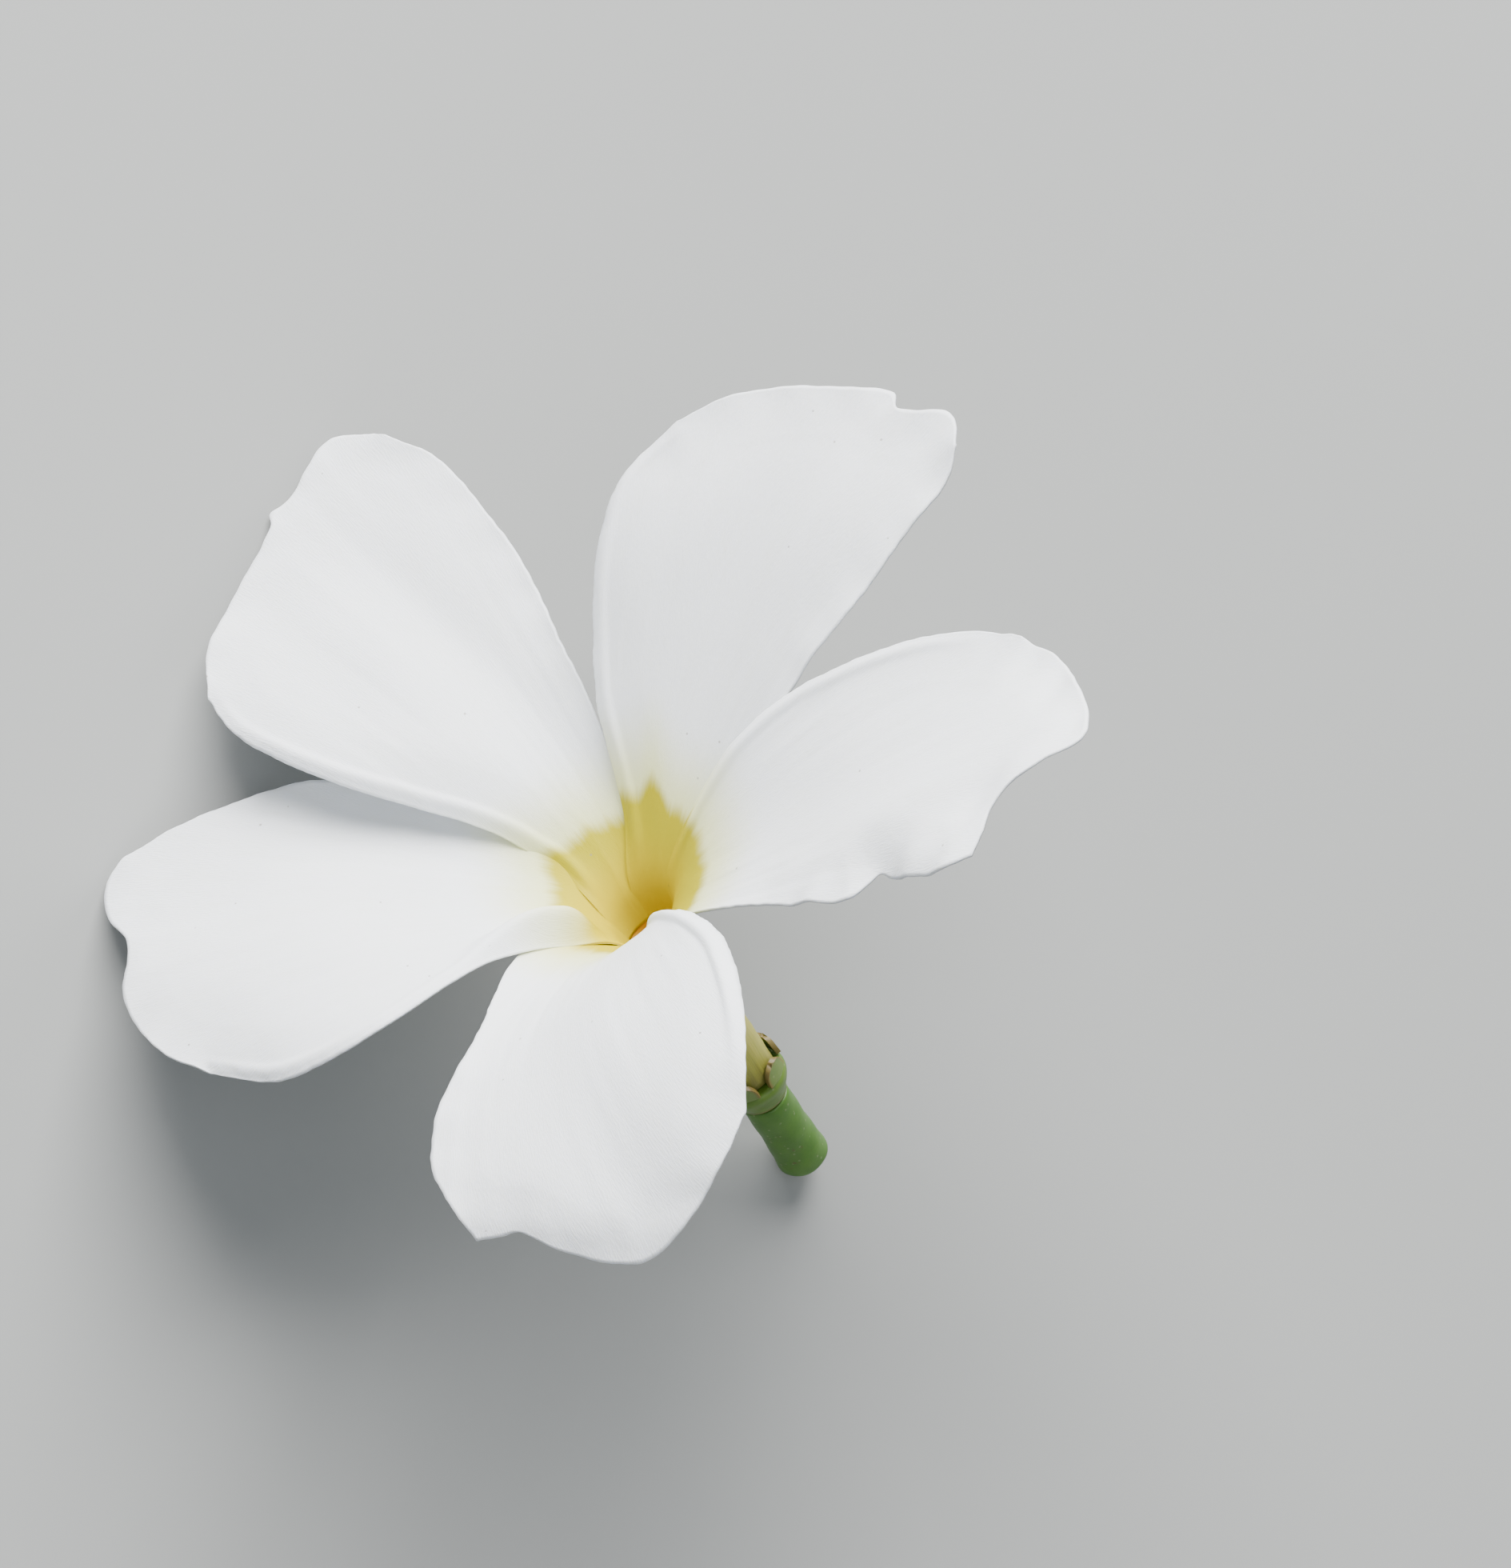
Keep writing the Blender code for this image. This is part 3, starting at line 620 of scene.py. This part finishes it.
lobe_skin = finish_green(*green_skin("lobe_skin", (0.10, 0.18, 0.04), (0.22, 0.28, 0.07), "edge"), 0.45)
for number in range(5):
    deselect()
    bpy.ops.mesh.primitive_grid_add(x_subdivisions=LOBE_COLUMNS, y_subdivisions=LOBE_ROWS, size=2,
                                    location=(0, 0, 0))
    lobe = bpy.context.object
    lobe.name = f"calyx_lobe_{number + 1}"
    edges = []
    for vertex in lobe.data.vertices:
        u, v = vertex.co.x, (vertex.co.y + 1) / 2
        half = LOBE_WIDTH / 2 * (1 - v ** 2.6 * 0.97) ** 0.5
        angle = math.radians(72 * number) + u * half / LOBE_RADIUS
        radius = LOBE_RADIUS + 0.08 * u * u - 0.10 * v
        vertex.co = (radius * math.cos(angle), radius * math.sin(angle), LOBE_FOOT + v * LOBE_HEIGHT)
        edges.append(min(1 - abs(u), 1 - v) * 1.3)
    add_values(lobe, "edge", edges)
    wall = lobe.modifiers.new("flesh", "SOLIDIFY")
    wall.thickness, wall.offset = LOBE_THICKNESS, 1.0
    bpy.ops.object.modifier_apply(modifier="flesh")
    rounding = lobe.modifiers.new("round", "BEVEL")
    rounding.width, rounding.segments, rounding.limit_method = 0.12, 3, "ANGLE"
    bpy.ops.object.modifier_apply(modifier="round")
    lobe.data.transform(flower_to_world)
    settle(lobe, lobe_skin, f"sepal_{number + 1}")


# ---- The stalk -------------------------------------------------------------------------------------
# The flower's own short stalk is firm, round and waxy green, with pale pores and a few red-brown
# scars. It is cut straight across, and the cut shows a pale ring round a greener pith.
STALK_TOP, STALK_LENGTH, STALK_BEND = -24.4, 9.0, 0.12
STALK_PROFILE = [(0.02, 0), (1.5, 0), (2.0, 0.05), (2.1, 0.4), (2.1, 2), (2.08, 4), (2.15, 6.5), (2.25, 8.3),
                 (2.24, 8.9), (2.12, 9.0), (1.5, 9.0), (1.2, 8.93), (0.6, 8.9), (0.02, 8.9)]
stalk = turned("stalk", [tuple(p) for p in smooth_curve(STALK_PROFILE, 90)], 72)
ends, rings = [], []
for vertex in stalk.data.vertices:
    x, y, down = vertex.co
    ends.append(STALK_LENGTH - down)
    rings.append(math.hypot(x, y))
    lump = 1 + 0.012 * math.sin(1.9 * down + 2 * math.atan2(y, x)) + 0.010 * math.sin(5 * math.atan2(y, x))
    angle = STALK_BEND * down / STALK_LENGTH
    aside = STALK_LENGTH / STALK_BEND * (1 - math.cos(angle)) + x * lump * math.cos(angle)
    fall = STALK_LENGTH / STALK_BEND * math.sin(angle) - x * lump * math.sin(angle)
    vertex.co = (aside, y * lump, STALK_TOP - fall)
add_values(stalk, "end", ends)
add_values(stalk, "ring", rings)
stalk.data.flip_normals()
skin, colour, relief = green_skin("stalk_skin", (0.04, 0.125, 0.012), (0.105, 0.24, 0.025))
cut = skin.ramp(skin.attribute("end"), 0.16, 0.08) * skin.ramp(skin.attribute("ring"), 2.14, 2.0)
rind = skin.ramp(skin.attribute("ring"), 1.2, 1.7)
colour = skin.mix(cut, colour, skin.mix(rind, (0.42, 0.46, 0.22), (0.66, 0.66, 0.42)))
stalk.data.transform(flower_to_world)
settle(stalk, finish_green(skin, colour, relief, 0.4), "pedicel")


# ---- Inside the tube's foot ------------------------------------------------------------------------
# A green ovary stands on the calyx with a short style and a thick pale stigma. Five small yellow
# anthers on very short filaments stand round the stigma, close to the tube's wall.
PISTIL_PROFILE = [(0.02, -21), (0.8, -21), (1.05, -20.6), (1.1, -20.3), (0.9, -19.8), (0.35, -19.3),
                  (0.28, -18.5), (0.42, -18.15), (0.5, -17.9), (0.5, -17.4), (0.36, -17.0), (0.2, -16.75),
                  (0.02, -16.6)]
ANTHER_PROFILE = [(0.02, 0), (0.13, 0), (0.14, 0.2), (0.27, 0.4), (0.32, 0.7), (0.29, 1.4), (0.18, 2.0),
                  (0.02, 2.4)]
ANTHER_CIRCLE, ANTHER_FOOT = 1.22, -18.8


def soft_skin(name, low, high, scale):
    skin = Finish(name)
    spot = skin.node("TexCoord", output="Object")
    mottle = skin.noise(spot, scale, 4.0, 0.6)
    return skin.finish(Base_Color=skin.mix(mottle, low, high), Roughness=0.5 + mottle * 0.2,
                       Normal=skin.bump(mottle, 0.4, 0.0001))


pistil = turned("pistil_body", [tuple(p) for p in smooth_curve(PISTIL_PROFILE, 60)], 32)
for vertex in pistil.data.vertices:
    crease = 1 - 0.06 * max(0.0, math.cos(2 * math.atan2(vertex.co.y, vertex.co.x))) ** 4
    vertex.co.x, vertex.co.y = vertex.co.x * crease, vertex.co.y * crease
pistil.data.transform(flower_to_world)
settle(pistil, soft_skin("pistil_skin", (0.40, 0.45, 0.15), (0.60, 0.62, 0.30), 1500.0), "pistil")

anther_skin = soft_skin("anther_skin", (0.55, 0.36, 0.06), (0.75, 0.58, 0.16), 2500.0)
for number in range(5):
    anther = turned(f"anther_{number + 1}", [tuple(p) for p in smooth_curve(ANTHER_PROFILE, 30)], 20)
    angle = math.radians(72 * number + 36)
    for vertex in anther.data.vertices:
        x, y, z = vertex.co
        groove = 1 - 0.22 * math.exp(-(math.atan2(y, -x) / 0.35) ** 2)
        x, y = x * groove, y * groove
        vertex.co = ((ANTHER_CIRCLE + x) * math.cos(angle) - y * math.sin(angle),
                     (ANTHER_CIRCLE + x) * math.sin(angle) + y * math.cos(angle), ANTHER_FOOT + z)
    anther.data.transform(flower_to_world)
    settle(anther, anther_skin, f"stamen_{number + 1}")
